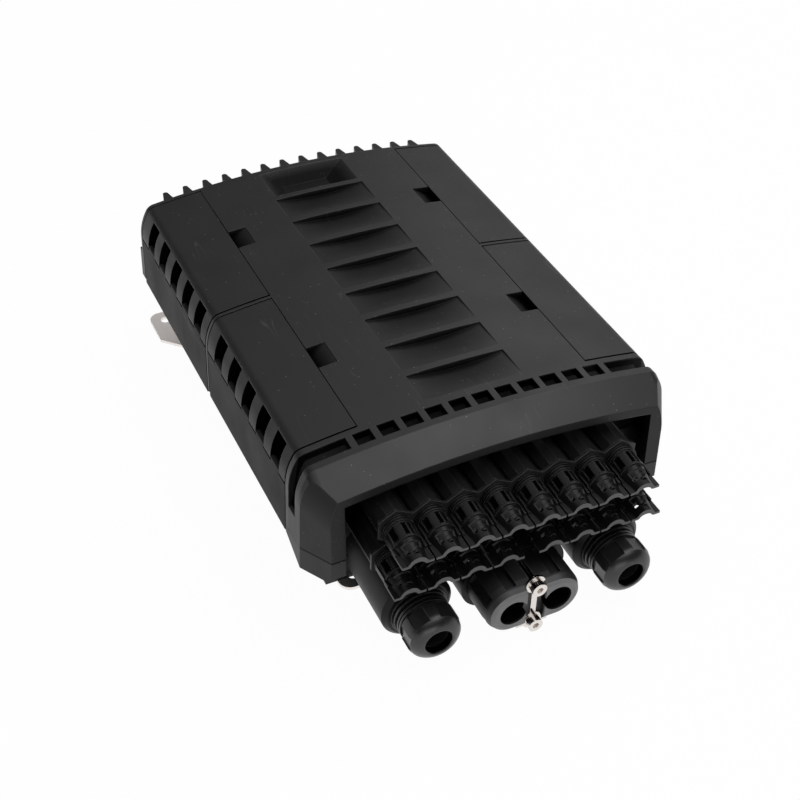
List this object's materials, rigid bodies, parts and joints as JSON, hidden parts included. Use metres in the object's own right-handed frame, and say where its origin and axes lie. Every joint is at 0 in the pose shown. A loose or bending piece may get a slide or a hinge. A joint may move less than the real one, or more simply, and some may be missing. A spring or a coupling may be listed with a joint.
{
  "type": "fibre distribution box",
  "caption": "Black outdoor fibre distribution box: crowned cover held by side clasps, rows of drop cable ports under a hood, round glands, a twin inlet and a wall bracket.",
  "frame": {"origin": "on the bracket's back face, in the mirror plane, level with the divider between the clasps", "axes": "+Z out of the cover, +Y towards the finned rear end, X across the box"},
  "size_m": [0.2134, 0.3507, 0.1099],
  "materials": {
    "shell_plastic": "matt charcoal moulding with a fine grain",
    "flap_plastic": "matt black moulding with a fine grain",
    "panel_plastic": "matt black moulding, a little warm",
    "port_plastic": "glossy black moulding",
    "gland_plastic": "satin black moulding",
    "seal_rubber": "soft black rubber",
    "stainless": "satin stainless sheet",
    "bright_chrome": "bright plated steel",
    "inner_plastic": "plain grey moulding",
    "tray_lid_plastic": "pale moulding",
    "adapter_plastic": "green adapter moulding",
    "splitter_steel": "plain steel case"
  },
  "bodies": {
    "case": {"cover": "shell_plastic", "base": "shell_plastic", "panel_right_rear": "panel_plastic", "panel_left_rear": "panel_plastic", "panel_right_front": "panel_plastic", "panel_left_front": "panel_plastic", "port_block": "port_plastic", "drop_clip_upper_1": "port_plastic", "drop_clip_upper_2": "port_plastic", "drop_clip_upper_3": "port_plastic", "drop_clip_upper_4": "port_plastic", "drop_clip_upper_5": "port_plastic", "drop_clip_upper_6": "port_plastic", "drop_clip_upper_7": "port_plastic", "drop_clip_upper_8": "port_plastic", "drop_clip_lower_1": "port_plastic", "drop_clip_lower_2": "port_plastic", "drop_clip_lower_3": "port_plastic", "drop_clip_lower_4": "port_plastic", "drop_clip_lower_5": "port_plastic", "drop_clip_lower_6": "port_plastic", "drop_clip_lower_7": "port_plastic", "drop_clip_lower_8": "port_plastic", "gland_body_left": "gland_plastic", "gland_body_right": "gland_plastic", "twin_block": "gland_plastic", "lid_gasket": "seal_rubber", "drop_seals": "seal_rubber", "gland_seal_left": "seal_rubber", "gland_seal_right": "seal_rubber", "twin_seal": "seal_rubber", "hinge_pins": "stainless", "bracket_screws": "stainless", "mounting_bracket": "stainless", "twin_clamp": "bright_chrome", "clamp_screws": "bright_chrome", "adapter_panel": "inner_plastic", "splice_tray": "inner_plastic", "cable_clamps": "inner_plastic", "tray_lid": "tray_lid_plastic", "adapters": "adapter_plastic", "splitter_module": "splitter_steel"},
    "flap_right_rear": {"flap_right_rear": "flap_plastic"},
    "flap_left_rear": {"flap_left_rear": "flap_plastic"},
    "flap_right_front": {"flap_right_front": "flap_plastic"},
    "flap_left_front": {"flap_left_front": "flap_plastic"},
    "nut_left": {"gland_nut_left": "gland_plastic"},
    "nut_right": {"gland_nut_right": "gland_plastic"}
  },
  "joints": [
    {"name": "flap_hinge_right_rear", "type": "hinge", "parent": "case", "child": "flap_right_rear", "pos_m": [0.1041, 0.0612, 0.0825], "axis": [0, 1, 0], "range_deg": [0, 95]},
    {"name": "flap_hinge_left_rear", "type": "hinge", "parent": "case", "child": "flap_left_rear", "pos_m": [-0.1041, 0.0612, 0.0825], "axis": [0, -1, 0], "range_deg": [0, 95]},
    {"name": "flap_hinge_right_front", "type": "hinge", "parent": "case", "child": "flap_right_front", "pos_m": [0.1041, -0.061, 0.0825], "axis": [0, 1, 0], "range_deg": [0, 95]},
    {"name": "flap_hinge_left_front", "type": "hinge", "parent": "case", "child": "flap_left_front", "pos_m": [-0.1041, -0.061, 0.0825], "axis": [0, -1, 0], "range_deg": [0, 95]},
    {"name": "nut_turn_left", "type": "hinge", "parent": "case", "child": "nut_left", "pos_m": [-0.0565, -0.19, 0.0237], "axis": [0, 1, 0], "continuous": true},
    {"name": "nut_turn_right", "type": "hinge", "parent": "case", "child": "nut_right", "pos_m": [0.0565, -0.19, 0.0237], "axis": [0, 1, 0], "continuous": true}
  ]
}
